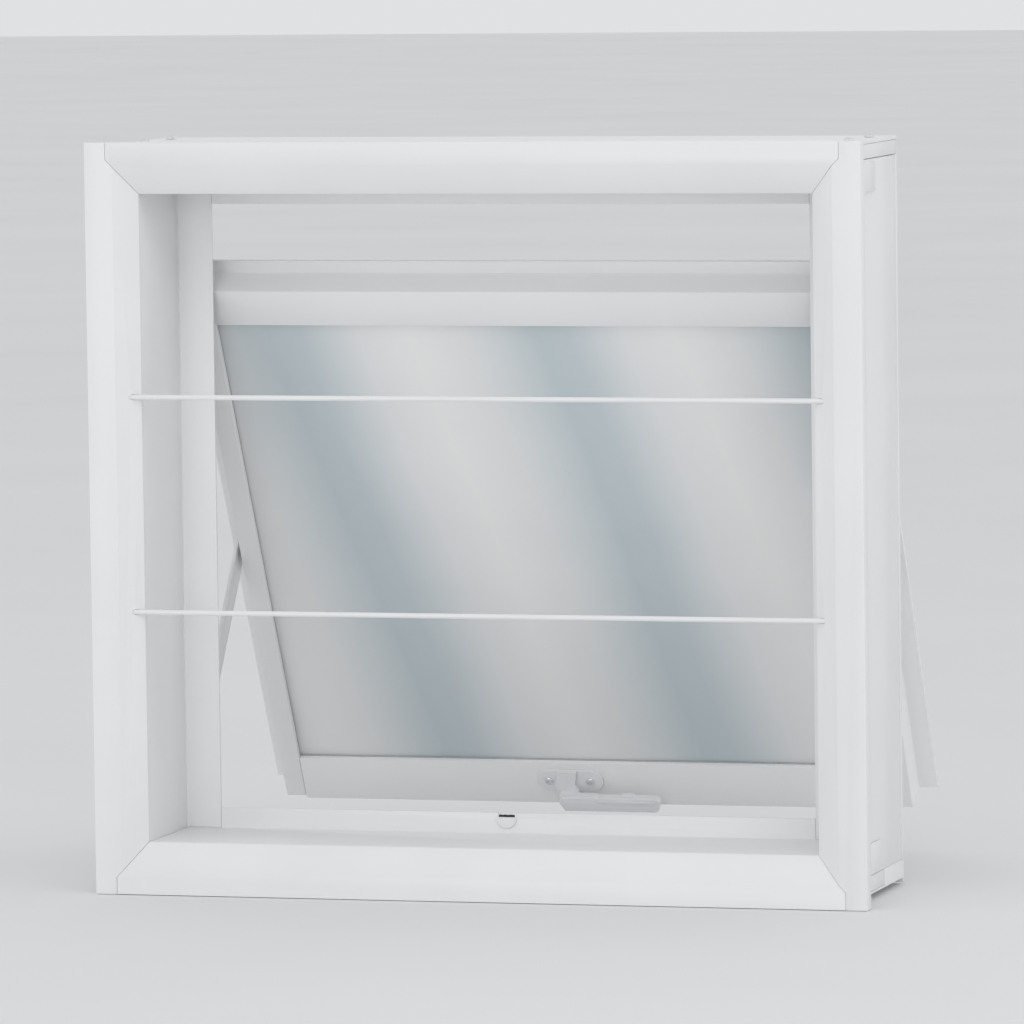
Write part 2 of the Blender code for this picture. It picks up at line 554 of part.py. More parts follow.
LOBE_R, HALF_PITCH = 11.5 * MM, LATCH_PITCH / 2
base_outline = arc(HALF_PITCH, 0, LOBE_R, -100, 100, 14) + arc(-HALF_PITCH, 0, LOBE_R, 80, 280, 14)
screw_holes = [circle(side * HALF_PITCH, 0, 2.2 * MM, 14) for side in (-1, 1)]
place("latch_base", outline_mesh([base_outline] + screw_holes, BASE_T), "latch",
      latch_at(GAP + BASE_T / 2), SASH)

for side, label in SIDES:
    screw = pan_screw(3.9 * MM, 2.2 * MM, 1.9 * MM, BASE_T - 0.2 * MM)
    at = latch_at(BASE_T + 2 * GAP, LATCH_X + side * HALF_PITCH)
    place("latch_screw_" + label, screw, "steel", at, SASH)

LEVER_BACK = BASE_T + 2 * GAP
LEVER_T, LEVER_COVER = 4.4 * MM, 1.1 * MM
PIN_TOP = LEVER_BACK + LEVER_T - LEVER_COVER - GAP
pivot_pin = turned_mesh([(0, PIN_TOP), (2.6 * MM, PIN_TOP), (2.6 * MM, LEVER_BACK), (0, LEVER_BACK)])
place("latch_pivot", pivot_pin, "latch", latch_at(0), SASH)

# lever outlines are measured from the pivot: hub plate, then the neck and the grip fused to it
GRIP_BACK, GRIP_T = 9.3 * MM, 8.5 * MM
hub_outline = [(-9 * MM, 12 * MM), (-13.5 * MM, -1.5 * MM), (-9.5 * MM, -13 * MM), (-6 * MM, -21 * MM),
               (8.5 * MM, -21 * MM), (8.5 * MM, -9 * MM), (5.5 * MM, -2 * MM), (8.5 * MM, 12.4 * MM)]
lever = place("latch_lever", outline_mesh([hub_outline], LEVER_T), "latch",
              latch_at(LEVER_BACK + LEVER_T / 2), SASH)
hole_top = LEVER_BACK + LEVER_T - LEVER_COVER
cut(lever, turned_mesh([(0, hole_top), (2.9 * MM, hole_top), (2.9 * MM, 0), (0, 0)]), latch_at(0))
neck_outline = [(-8.5 * MM, -9.5 * MM), (-5.8 * MM, -20.8 * MM), (8.2 * MM, -20.8 * MM),
                (8.2 * MM, -9.5 * MM)]
cut(lever, outline_mesh([neck_outline], 12 * MM), latch_at(LEVER_BACK + 6.2 * MM), "UNION")
grip_outline = [(-8.8 * MM, -10.5 * MM), (-9 * MM, -15 * MM), (-4 * MM, -23.2 * MM), (80 * MM, -23.2 * MM),
                (84.5 * MM, -19.5 * MM), (85.5 * MM, -13 * MM), (82 * MM, -9.8 * MM), (20 * MM, -9.8 * MM)]
cut(lever, outline_mesh([grip_outline], GRIP_T), latch_at(GRIP_BACK + GRIP_T / 2), "UNION")

for obj in PARTS.objects:
    if obj.type == "MESH":
        obj.data.shade_smooth()
        obj.data.set_sharp_from_angle(angle=math.radians(30))
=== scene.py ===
# %% [markdown]
# # A top-hung window
# The window is a deep white frame with flat trims on the room side, two thin guard bars, and a
# glazed sash that hangs on side stays and is held by a small lever latch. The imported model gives
# every solid its true size and place, so this lesson only dresses it: it softens the edges of the
# extrusions, makes the fixings, bars and seals with Geometry Nodes, and mixes the finishes.

# %% Load the model
import json
import math

import bmesh
import bpy
from mathutils import Matrix, Vector


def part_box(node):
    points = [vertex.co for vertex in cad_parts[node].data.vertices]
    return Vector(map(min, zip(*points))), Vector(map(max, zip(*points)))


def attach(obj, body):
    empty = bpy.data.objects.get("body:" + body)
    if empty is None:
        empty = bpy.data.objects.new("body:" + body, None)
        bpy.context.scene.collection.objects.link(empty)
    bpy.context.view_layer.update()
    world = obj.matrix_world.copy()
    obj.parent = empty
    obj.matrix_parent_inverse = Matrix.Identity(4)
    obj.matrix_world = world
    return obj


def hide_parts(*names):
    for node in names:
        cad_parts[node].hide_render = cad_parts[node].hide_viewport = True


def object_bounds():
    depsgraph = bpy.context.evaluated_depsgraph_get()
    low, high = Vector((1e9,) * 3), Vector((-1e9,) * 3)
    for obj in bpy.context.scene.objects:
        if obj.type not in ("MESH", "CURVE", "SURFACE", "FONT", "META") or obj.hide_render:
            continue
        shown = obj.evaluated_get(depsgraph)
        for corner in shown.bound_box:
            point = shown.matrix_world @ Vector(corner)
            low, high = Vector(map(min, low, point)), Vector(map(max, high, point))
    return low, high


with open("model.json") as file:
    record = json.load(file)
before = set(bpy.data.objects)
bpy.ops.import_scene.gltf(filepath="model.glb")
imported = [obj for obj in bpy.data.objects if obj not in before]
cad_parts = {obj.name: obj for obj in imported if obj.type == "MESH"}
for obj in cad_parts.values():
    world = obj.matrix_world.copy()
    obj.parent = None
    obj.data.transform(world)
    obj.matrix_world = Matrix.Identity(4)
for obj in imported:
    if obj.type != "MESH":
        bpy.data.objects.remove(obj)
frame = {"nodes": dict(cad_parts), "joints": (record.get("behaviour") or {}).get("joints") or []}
model_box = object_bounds()
MM = 0.001

# %% [markdown]
# ## Nodes written as sums
# A finish is a small sum: so much noise, plus so much of a mask. Each node could be placed by hand
# and wired one socket at a time, but a page of links hides the sum. A class that wraps a socket
# and answers to +, -, * and / lets the sum be written as it is read, and one method makes every
# other node: its settings go in first, then the values or wires of its sockets.


# %% A socket that does arithmetic
class Wire:
    """An output socket in a node tree."""

    def __init__(self, bench, socket):
        self.bench, self.socket = bench, socket

    def sum_of(self, operation, first, second):
        return self.bench.node("ShaderNodeMath", {"operation": operation}, {0: first, 1: second})

    def __add__(self, other):
        return self.sum_of("ADD", self, other)

    def __radd__(self, other):
        return self.sum_of("ADD", other, self)

    def __sub__(self, other):
        return self.sum_of("SUBTRACT", self, other)

    def __rsub__(self, other):
        return self.sum_of("SUBTRACT", other, self)

    def __mul__(self, other):
        return self.sum_of("MULTIPLY", self, other)

    def __rmul__(self, other):
        return self.sum_of("MULTIPLY", other, self)

    def __truediv__(self, other):
        return self.sum_of("DIVIDE", self, other)


class Bench:
    """A node tree and the one method that makes nodes in it."""

    def __init__(self, tree):
        self.tree = tree

    def node(self, kind, settings=None, sockets=None, out=0):
        made = self.tree.nodes.new(kind)
        for name, value in (settings or {}).items():
            if name == "stops":
                ramp = made.color_ramp
                while len(ramp.elements) < len(value):
                    ramp.elements.new(0.5)
                for element, (at, colour) in zip(ramp.elements, value):
                    element.position, element.color = at, colour
            else:
                setattr(made, name, value)
        for name, value in (sockets or {}).items():
            if isinstance(value, Wire):
                self.tree.links.new(value.socket, made.inputs[name])
            else:
                made.inputs[name].default_value = value
        return Wire(self, made.outputs[out])


# %% [markdown]
# ## The finishes
# The aluminium is powder coated: fine plastic dust is baked into a satin film that lies in soft
# dimples, called orange peel, about a millimetre apart. The film could be one flat white, but then
# a broad profile looks like paper. Here a fine noise bumps the surface, a slow noise shifts its
# gloss and tone by a hair, and a little dust settles where a face looks up. The sash and the latch
# stand back in the frame's shade, so their coats are painted a little paler, as painted light that
# keeps them readably white.


# %% Shared parts of a finish
def start_finish(name):
    """A new material with its bench, its shader node and the place on the object."""
    finish = bpy.data.materials.new(name)
    finish.use_nodes = True
    bench = Bench(finish.node_tree)
    shader = finish.node_tree.nodes["Principled BSDF"]
    place = bench.node("ShaderNodeTexCoord", out="Object")
    return finish, bench, shader, place


def noise(bench, place, scale, detail=2.0, rough=0.5):
    return bench.node("ShaderNodeTexNoise", {}, {"Vector": place, "Scale": scale, "Detail": detail,
                                                  "Roughness": rough})


def mix_colours(bench, share, first, second):
    return bench.node("ShaderNodeMix", {"data_type": "RGBA"}, {0: share, 6: first, 7: second},
                      out=2)


def remap(bench, value, low, high, new_low, new_high):
    return bench.node("ShaderNodeMapRange", {},
                      {0: value, 1: low, 2: high, 3: new_low, 4: new_high})


def feed(bench, shader, **wires):
    for name, wire in wires.items():
        bench.tree.links.new(wire.socket, shader.inputs[name.replace("_", " ")])


def bump(bench, height, strength, depth):
    return bench.node("ShaderNodeBump", {},
                      {"Height": height, "Strength": strength, "Distance": depth})


# %% Powder coats
def powder_coat(name, colour, shade, gloss_rough, dust_tint):
    """Baked satin film: orange peel, faint tone drift and dust on the faces that look up."""
    finish, bench, shader, place = start_finish(name)
    drift = noise(bench, place, 9.0, 3.0)
    facing = bench.node("ShaderNodeTexCoord", out="Normal")
    upward = bench.node("ShaderNodeSeparateXYZ", {}, {0: facing}, out="Z")
    grains = noise(bench, place, 420.0, 4.0, 0.7)
    patches = remap(bench, grains + drift, 0.85, 1.25, 0.0, 0.5)
    dusty = remap(bench, upward, 0.55, 1.0, 0.0, 1.0) * patches
    film = mix_colours(bench, remap(bench, drift, 0.3, 0.7, 0.0, 1.0), (*shade, 1), (*colour, 1))
    peel = noise(bench, place, 950.0, 2.0) + noise(bench, place, 300.0, 1.0) * 0.6
    gloss = remap(bench, drift, 0.3, 0.7, gloss_rough - 0.03, gloss_rough + 0.04)
    feed(bench, shader,
         Base_Color=mix_colours(bench, dusty * 0.35, film, (*dust_tint, 1)),
         Roughness=gloss + dusty * 0.2,
         Normal=bump(bench, peel, 0.10, 0.00012))
    shader.inputs["Specular IOR Level"].default_value = 0.45
    return finish


DUST = (0.78, 0.77, 0.75)
COAT = powder_coat("white_powder_coat", colour=(0.90, 0.90, 0.905), shade=(0.87, 0.87, 0.875),
                   gloss_rough=0.36, dust_tint=DUST)
# painted light: the sash and latch coats are paler than the frame's coat, to lift them out of the
# frame's shade
SASH_COAT_PAINTED_PALER = powder_coat("sash_coat_painted_paler", colour=(0.955, 0.955, 0.955),
                        shade=(0.935, 0.935, 0.935), gloss_rough=0.36, dust_tint=(0.82, 0.81, 0.79))
LATCH_COAT_PAINTED_PALER = powder_coat("latch_coat_painted_paler", colour=(0.92, 0.915, 0.93), shade=(0.87, 0.865, 0.88),
                         gloss_rough=0.30, dust_tint=DUST)

# %% [markdown]
# ## Metal, nylon and rubber
# Tracks and pivot plates are rolled stainless strip, and a noise stretched far more one way than
# the other reads as brushing. Screws are plain bright zinc. Nylon is slightly waxy, and the seals
# are matt rubber with the chalky bloom of age. The gasket round the glass is a pale grey rubber.


# %% Steel, nylon and rubber
def brushed_metal(name, colour, rough, stretch):
    """Bare metal whose grain is a noise stretched along the strip."""
    finish, bench, shader, place = start_finish(name)
    grain_place = bench.node("ShaderNodeMapping", {}, {"Vector": place, "Scale": stretch})
    grain = noise(bench, grain_place, 60.0, 4.0, 0.65)
    wear = noise(bench, place, 55.0, 3.0)
    darker = tuple(c * 0.72 for c in colour)
    streaks = remap(bench, grain, 0.3, 0.7, 0.0, 1.0)
    feed(bench, shader,
         Base_Color=mix_colours(bench, streaks, (*darker, 1), (*colour, 1)),
         Roughness=remap(bench, grain + wear, 0.7, 1.3, rough - 0.08, rough + 0.12),
         Normal=bump(bench, grain, 0.15, 0.00006))
    shader.inputs["Metallic"].default_value = 1.0
    return finish


def soft_solid(name, colour, pale, rough, scale, depth):
    """Plastic or rubber with a pale bloom that also makes it rougher."""
    finish, bench, shader, place = start_finish(name)
    bloom = noise(bench, place, scale, 4.0, 0.6)
    chalk = remap(bench, bloom, 0.35, 0.7, 0.0, 1.0)
    feed(bench, shader,
         Base_Color=mix_colours(bench, chalk, (*colour, 1), (*pale, 1)),
         Roughness=remap(bench, bloom, 0.3, 0.7, rough - 0.06, rough + 0.08),
         Normal=bump(bench, bloom, 0.2, depth))
    return finish


STEEL = brushed_metal("brushed_stainless", (0.70, 0.70, 0.71), rough=0.30,
                      stretch=(40.0, 1.5, 1.5))
ZINC = brushed_metal("bright_zinc_plate", (0.96, 0.965, 0.97), rough=0.34, stretch=(8.0, 8.0, 8.0))
NYLON = soft_solid("natural_nylon", (0.78, 0.78, 0.75), (0.84, 0.84, 0.82), rough=0.48,
                   scale=160.0, depth=0.00008)
PALE_GASKET = soft_solid("pale_grey_gasket", (0.52, 0.52, 0.53), (0.60, 0.60, 0.61), rough=0.66,
                         scale=240.0, depth=0.0001)
RUBBER = soft_solid("black_seal_rubber", (0.022, 0.022, 0.024), (0.055, 0.055, 0.057), rough=0.74,
                    scale=240.0, depth=0.0001)

# %% [markdown]
# ## The glass
# Float glass is clear, but a pane that is seen at a slant shows the sky in slow bands from pale to
# blue-grey. Real sky isn't in this studio, so that reflection is painted into the pane's colour as
# long diagonal waves in the object's own coordinates, and a thin painted highlight marks the crest
# of each wave. The painted reflection stays on the glass from every side, and the clear gloss on
# top still comes from the lights.

# %% Banded glass
BAND_STEP = 0.245                  # from one pale band to the next, across the pane
BAND_LEAN = 0.250                  # how far a band moves sideways for each metre of height
BAND_START = 0.031                 # where the first pale band stands at the foot of the frame


def banded_glass():
    """Glossy, nearly opaque glass with a painted sky reflection that runs in leaning bands."""
    finish, bench, shader, place = start_finish("float_glass_painted_reflection")
    across = bench.node("ShaderNodeSeparateXYZ", {}, {0: place}, out="X")
    height = bench.node("ShaderNodeSeparateXYZ", {}, {0: place}, out="Z")
    ripple = noise(bench, place, 5.0, 2.0) * 0.03
    turns = (across + height * BAND_LEAN - BAND_START + ripple) / BAND_STEP
    wave = bench.node("ShaderNodeMath", {"operation": "FRACT"}, {0: turns})
    # painted highlight: the pale colours at the crest of each band
    crest, near_crest = (1.0, 1.0, 0.99, 1), (0.98, 0.985, 0.98, 1)
    # painted reflection of the sky: bands from pale to blue-grey in the base colour
    painted_sky_reflection = bench.node("ShaderNodeValToRGB", {"stops": [
        (0.0, crest), (0.05, near_crest), (0.22, (0.90, 0.915, 0.92, 1)),
        (0.47, (0.64, 0.725, 0.755, 1)), (0.58, (0.66, 0.74, 0.775, 1)),
        (0.80, (0.92, 0.935, 0.945, 1)), (0.95, near_crest), (1.0, crest)]}, {0: wave})
    smear = noise(bench, place, 22.0, 4.0, 0.6)
    feed(bench, shader, Base_Color=painted_sky_reflection, Roughness=remap(bench, smear, 0.3, 0.8, 0.07, 0.16))
    shader.inputs["Alpha"].default_value = 0.93
    shader.inputs["IOR"].default_value = 1.5
    shader.inputs["Specular IOR Level"].default_value = 0.35
    return finish


GLASS = banded_glass()
FINISHES = (COAT, SASH_COAT_PAINTED_PALER, LATCH_COAT_PAINTED_PALER, STEEL, ZINC, NYLON, PALE_GASKET, RUBBER, GLASS)
print("finishes", [finish.name for finish in FINISHES])

# %% [markdown]
# ## Softened extrusions
# A sawn and coated profile never has a razor edge: the die rounds it and the film rounds it again.
# A shader can fake that, but a silhouette can't lie, so the edge is cut in the mesh. Each packed
# solid is copied, its loose triangles are welded and its flat faces joined, and a narrow bevel goes
# on every edge that turns by more than thirty degrees.


# %% Copy, weld and bevel a solid
SHARP_EDGE = math.radians(30)      # an edge that turns more than this gets a bevel
CREASE = math.radians(28)          # a bevelled edge that still turns more than this is shaded sharp
SWEPT_CREASE = math.radians(35)    # the same for a mesh that a tree of nodes made


def welded_copy(node):
    """The node's mesh with its triangles joined into flat faces."""
    bm = bmesh.new()
    bm.from_mesh(frame["nodes"][node].data)
    bmesh.ops.remove_doubles(bm, verts=bm.verts, dist=2e-6)
    bmesh.ops.dissolve_limit(bm, angle_limit=math.radians(1.0), verts=bm.verts, edges=bm.edges)
    mesh = bpy.data.meshes.new(node)
    bm.to_mesh(mesh)
    bm.free()
    return mesh


def show(name, mesh, finish, body, record_slot, *nodes):
    """Puts a finished mesh on a body in place of the nodes it stands for."""
    piece = bpy.data.objects.new(name, mesh)
    bpy.context.scene.collection.objects.link(piece)
    mesh.materials.clear()
    mesh.materials.append(finish)
    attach(piece, body)
    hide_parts(*nodes)
    return piece


def bevelled(mesh, width, segments=2):
    """The mesh with its sharp edges rounded, as a plain mesh."""
    guide = bpy.data.objects.new("guide", mesh)
    bpy.context.scene.collection.objects.link(guide)
    step = guide.modifiers.new("edge", "BEVEL")
    step.width, step.segments, step.limit_method = width, segments, "ANGLE"
    step.angle_limit, step.use_clamp_overlap = SHARP_EDGE, True
    graph = bpy.context.evaluated_depsgraph_get()
    done = bpy.data.meshes.new_from_object(guide.evaluated_get(graph))
    bpy.data.objects.remove(guide, do_unlink=True)
    done.shade_smooth()
    done.set_sharp_from_angle(angle=CREASE)
    return done


def dress(node, body, finish, record_slot, width):
    """Shows a node's own solid with its edges softened by a bevel of the given width."""
    return show("soft_" + node, bevelled(welded_copy(node), width), finish, body, record_slot, node)


# %% [markdown]
# ## Trims and frame
# The trims cover the joint between the frame and the wall. They meet on a mitre over the sloped
# face and butt square on the flat outer band. Their broad arris is the softest edge on the window,
# so it takes the widest bevel. The jambs, the sill and the head are hollow and keep a crisper one.

# %% Dress the trims and the frame
SIDES = ("left", "right")
for node in ("trim_left", "trim_right", "trim_top", "trim_bottom"):
    dress(node, "frame", COAT, "coat", 0.7 * MM)
for node in ("jamb_left", "jamb_right", "sill_profile", "head_profile"):
    dress(node, "frame", COAT, "coat", 0.5 * MM)
for side in SIDES:
    for end in ("low", "high"):
        dress(f"corner_plate_{side}_{end}", "frame", COAT, "coat", 0.4 * MM)
    for member in ("sill", "head"):
        dress(f"{member}_end_cap_{side}", "frame", COAT, "coat", 0.3 * MM)
dress("latch_keeper", "frame", COAT, "coat", 0.35 * MM)

# %% [markdown]
# ## Sash, glass and beads
# The sash profiles have a flat leaf towards the room, a rebate for the glass and a thin flange
# that laps the frame outside. They are bevelled as the frame is, in the paler coat. The pane gets
# only a ground arris, and its gasket is pale too, so that no dark line rings the glass.

# %% Dress the sash
for node in ("sash_stile_left", "sash_stile_right", "sash_top_rail", "sash_bottom_rail"):
    dress(node, "sash", SASH_COAT_PAINTED_PALER, "coat", 0.6 * MM)
for node in ("bead_top", "bead_bottom", "bead_left", "bead_right"):
    dress(node, "sash", SASH_COAT_PAINTED_PALER, "coat", 0.4 * MM)
dress("glass_pane", "sash", GLASS, "glass", 0.5 * MM)
dress("glazing_gasket", "sash", PALE_GASKET, "rubber", 0.2 * MM)
for side in SIDES:
    dress("setting_block_" + side, "sash", NYLON, "nylon", 0.4 * MM)

# %% [markdown]
# ## What follows a path
# A guard bar is a round rod, and a seal is a rubber section pressed into a groove: both are one
# outline carried along one line. They could be drawn as cylinders and boxes, but a tree of nodes
# keeps the rule itself, so a tree with named sizes serves every bar and every seal. Each tree ends
# by realizing what it made, because a plain mesh is what the window is built from.


# %% Build and run a tree of geometry nodes
def new_tree(name, inputs):
    """A geometry tree with named inputs; returns its bench and a wire for each input."""
    tree = bpy.data.node_groups.new(name, "GeometryNodeTree")
    tree.interface.new_socket("Geometry", in_out="INPUT", socket_type="NodeSocketGeometry")
    tree.interface.new_socket("Geometry", in_out="OUTPUT", socket_type="NodeSocketGeometry")
    for label, kind in inputs.items():
        tree.interface.new_socket(label, in_out="INPUT", socket_type="NodeSocket" + kind)
    bench = Bench(tree)
    entry = tree.nodes.new("NodeGroupInput")
    return bench, {label: Wire(bench, entry.outputs[label]) for label in ("Geometry", *inputs)}


def end_tree(bench, geometry, finish):
    """Realizes what the tree made and gives it its finish."""
    solid = bench.node("GeometryNodeRealizeInstances", {}, {0: geometry})
    painted = bench.node("GeometryNodeSetMaterial", {}, {"Geometry": solid, "Material": finish})
    leave = bench.tree.nodes.new("NodeGroupOutput")
    bench.tree.links.new(painted.socket, leave.inputs["Geometry"])
    return bench.tree


def grow(tree, values, seed=None):
    """Runs a tree with the given inputs and returns a plain welded mesh."""
    guide = bpy.data.objects.new("guide", seed or bpy.data.meshes.new("seed"))
    bpy.context.scene.collection.objects.link(guide)
    step = guide.modifiers.new("grow", "NODES")
    step.node_group = tree
    for item in tree.interface.items_tree:
        if item.in_out == "INPUT" and item.name in values:
            step[item.identifier] = values[item.name]
    graph = bpy.context.evaluated_depsgraph_get()
    mesh = bpy.data.meshes.new_from_object(guide.evaluated_get(graph))
    bpy.data.objects.remove(guide, do_unlink=True)
    bm = bmesh.new()
    bm.from_mesh(mesh)
    bmesh.ops.remove_doubles(bm, verts=bm.verts, dist=1e-6)
    bmesh.ops.recalc_face_normals(bm, faces=bm.faces)
    bm.to_mesh(mesh)
    bm.free()
    mesh.shade_smooth()
    mesh.set_sharp_from_angle(angle=SWEPT_CREASE)
    return mesh


# %% A rod, and a seal with a row of ribs
ROD_STEPS, ROD_SIDES = 240, 28
DRAW_FROM, DRAW_TO = 0.4955, 0.7   # where a rod begins to narrow, from its middle, and its end size
RIBS, RIB_DEPTH = 110, 0.10


def rod_tree(finish):
    """A round rod from Start to End whose last millimetres are drawn in."""
    bench, given = new_tree("round_rod", {"Start": "Vector", "End": "Vector", "Radius": "Float",
                                          "Sides": "Int"})
    line = bench.node("GeometryNodeCurvePrimitiveLine", {"mode": "POINTS"},
                      {"Start": given["Start"], "End": given["End"]})
    steps = bench.node("GeometryNodeResampleCurve", {}, {"Curve": line, "Count": ROD_STEPS})
    centred = bench.node("ShaderNodeMath", {"operation": "ABSOLUTE"},
                         {0: bench.node("GeometryNodeSplineParameter") - 0.5})
    drawn_in = remap(bench, centred, DRAW_FROM, 0.5, 1.0, DRAW_TO)
    ring = bench.node("GeometryNodeCurvePrimitiveCircle", {"mode": "RADIUS"},
                      {"Resolution": given["Sides"], "Radius": given["Radius"]})
    swept = bench.node("GeometryNodeCurveToMesh", {}, {"Curve": steps, "Profile Curve": ring,
                                                        "Scale": drawn_in, "Fill Caps": True})
    return end_tree(bench, swept, finish)


def seal_tree(finish):
    """A rubber strip from Start to End; its section swells and narrows in fine ribs."""
    bench, given = new_tree("ribbed_seal", {"Start": "Vector", "End": "Vector", "Width": "Float",
                                            "Height": "Float", "Ribs": "Int"})
    line = bench.node("GeometryNodeCurvePrimitiveLine", {"mode": "POINTS"},
                      {"Start": given["Start"], "End": given["End"]})
    steps = bench.node("GeometryNodeResampleCurve", {},
                       {"Curve": line, "Count": given["Ribs"] * 2 + 1})
    odd = bench.node("ShaderNodeMath", {"operation": "MODULO"},
                     {0: bench.node("GeometryNodeInputIndex"), 1: 2.0})
    outline = bench.node("GeometryNodeCurvePrimitiveQuadrilateral", {"mode": "RECTANGLE"},
                         {"Width": given["Width"], "Height": given["Height"]})
    thinner = bench.node("ShaderNodeMath", {"operation": "MINIMUM"},
                         {0: given["Width"], 1: given["Height"]})
    rounded = bench.node("GeometryNodeFilletCurve", {"mode": "POLY"},
                         {"Curve": outline, "Count": 3, "Radius": thinner * 0.4})
    swept = bench.node("GeometryNodeCurveToMesh", {},
                       {"Curve": steps, "Profile Curve": rounded,
                        "Scale": 1.0 - odd * RIB_DEPTH, "Fill Caps": True})
    return end_tree(bench, swept, finish)


ROD = rod_tree(COAT)
for label in ("bar_lower", "bar_upper"):
    low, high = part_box(label)
    middle = (low + high) / 2
    radius = (high.z - low.z) / 2
    mesh = grow(ROD, {"Start": (low.x, middle.y, middle.z), "End": (high.x, middle.y, middle.z),
                      "Radius": radius, "Sides": ROD_SIDES})
    show("rod_" + label, mesh, COAT, "frame", "coat", label)
    print(label, "radius mm", round(radius / MM, 2), "faces", len(mesh.polygons))

SEAL = seal_tree(RUBBER)
for side in ("left", "right", "bottom", "top"):
    node = "frame_seal_" + side
    low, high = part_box(node)
    middle = (low + high) / 2
    upright = side in SIDES
    width = high.x - low.x if upright else high.z - low.z
    start = (middle.x, middle.y, low.z) if upright else (low.x, middle.y, middle.z)
    end = (middle.x, middle.y, high.z) if upright else (high.x, middle.y, middle.z)
    depth = high.y - low.y
    # an outline's own width lies across an upright line, but along the depth of a level one
    section = {"Width": width, "Height": depth} if upright else {"Width": depth, "Height": width}
    mesh = grow(SEAL, {"Start": start, "End": end, "Ribs": RIBS, **section})
    show("ribbed_" + node, mesh, RUBBER, "frame", "rubber", node)

# %% [markdown]
# ## Fixings
# The screws on the head, the stays and the latch are one kind of pan head with a cross recess, so
# one tree makes them all. It is given a mesh of bare points with the way each screw faces stored on
# it, sets a head on every point, and sinks the cross with a boolean, so the recess is real.


# %% The screw tree
def screw_tree(finish):
    """Sets one pan head with a cross recess on every point, facing the way stored there."""
    bench, given = new_tree("cross_head_screws", {"Radius": "Float", "Height": "Float",
                                                  "Recess": "Float"})
    dome = bench.node("GeometryNodeMeshUVSphere", {}, {"Segments": 28, "Rings": 14, "Radius": 1.0})
    reach = given["Radius"] * 1.12
    spread = bench.node("ShaderNodeCombineXYZ", {}, {0: reach, 1: reach, 2: given["Height"]})
    bowl = bench.node("GeometryNodeTransform", {}, {"Geometry": dome, "Scale": spread})
    puck = bench.node("GeometryNodeMeshCylinder", {}, {"Vertices": 28, "Radius": given["Radius"],
                                                       "Depth": given["Height"] * 2.4})
    lift = bench.node("ShaderNodeCombineXYZ", {}, {2: given["Height"] * 1.2})
    raised = bench.node("GeometryNodeTransform", {}, {"Geometry": puck, "Translation": lift})
    head = bench.node("GeometryNodeMeshBoolean", {"operation": "INTERSECT"}, {"Mesh 2": bowl})
    bench.tree.links.new(raised.socket, head.socket.node.inputs["Mesh 2"])
    long, short = given["Radius"] * 1.1, given["Radius"] * 0.26
    top = bench.node("ShaderNodeCombineXYZ", {}, {2: given["Height"]})
    for size in ((long, short), (short, long)):
        bar = bench.node("ShaderNodeCombineXYZ", {},
                         {0: size[0], 1: size[1], 2: given["Recess"] * 2})
        cube = bench.node("GeometryNodeMeshCube", {}, {"Size": bar})
        placed = bench.node("GeometryNodeTransform", {}, {"Geometry": cube, "Translation": top})
        head = bench.node("GeometryNodeMeshBoolean", {"operation": "DIFFERENCE"},
                          {"Mesh 1": head, "Mesh 2": placed})
    facing = bench.node("GeometryNodeInputNamedAttribute", {"data_type": "FLOAT_VECTOR"},
                        {"Name": "facing"})
    turned = bench.node("FunctionNodeAlignRotationToVector", {"axis": "Z"}, {"Vector": facing})
    heads = bench.node("GeometryNodeInstanceOnPoints", {},
                       {"Points": given["Geometry"], "Instance": head, "Rotation": turned})
    return end_tree(bench, heads, finish)


def screw_points(places):
    """A mesh of bare points, each with the way its screw faces."""
    mesh = bpy.data.meshes.new("points")
    mesh.from_pydata([place for place, _ in places], [], [])
    facing = mesh.attributes.new("facing", "FLOAT_VECTOR", "POINT")
    for entry, (_, way) in zip(facing.data, places):
        entry.vector = way
    return mesh


SCREWS = screw_tree(ZINC)
RECESS_SHARE = 0.62                # how much of a head's height the cross cuts away
HEAD_RISE = 2.4 * MM


def screws(name, body, radius, height, places, nodes):
    """Shows one mesh of screw heads in place of the nodes it stands for."""
    sizes = {"Radius": radius, "Height": height, "Recess": height * RECESS_SHARE}
    mesh = grow(SCREWS, sizes, screw_points(places))
    show(name, mesh, ZINC, body, "steel", *nodes)
    print(name, len(places), "heads,", len(mesh.polygons), "faces")


head_nodes = [f"head_screw_{side}_{end}" for side in SIDES for end in ("inner", "outer")]
head_places = []
for node in head_nodes:
    low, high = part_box(node)
    middle = (low + high) / 2
    head_places.append(((middle.x, middle.y, high.z - HEAD_RISE), (0, 0, 1)))
screws("head_fixings", "frame", 4.2 * MM, HEAD_RISE, head_places, head_nodes)

stay_nodes = [f"stay_screw_{side}_{end}" for side in SIDES for end in ("low", "high")]
stay_places = []
for node in stay_nodes:
    low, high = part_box(node)
    middle = (low + high) / 2
    seat, inward = (low.x, 1) if low.x < 0 else (high.x, -1)
    stay_places.append(((seat, middle.y, middle.z), (inward, 0, 0)))
screws("stay_fixings", "frame", 3.3 * MM, 1.4 * MM, stay_places, stay_nodes)

# %% [markdown]
# ## The latch
# The lever is the one piece that a hand meets, so it is built for itself. On the real window it is
# a small casting: a hub plate on the rail, a neck, and a grip that stands forward with a bead and
# a short rib on its face, a thumb bump on top and a rounded end. It is laid out flat beside its
# pivot, in millimetres, with X along the rail, Y up the rail and Z towards the room, then set on
# the tilted rail by one matrix.

# %% Where the latch stands
TILT = math.radians(29)            # how far the sash stands open as modelled
latch_joint = next(j for j in frame["joints"] if j["name"] == "latch_turn")
RAIL_TO_ROW = Matrix.Translation(latch_joint["pos_m"]) @ Matrix((
    (1, 0, 0),
    (0, -math.sin(TILT), -math.cos(TILT)),
    (0, math.cos(TILT), -math.sin(TILT)))).to_4x4()


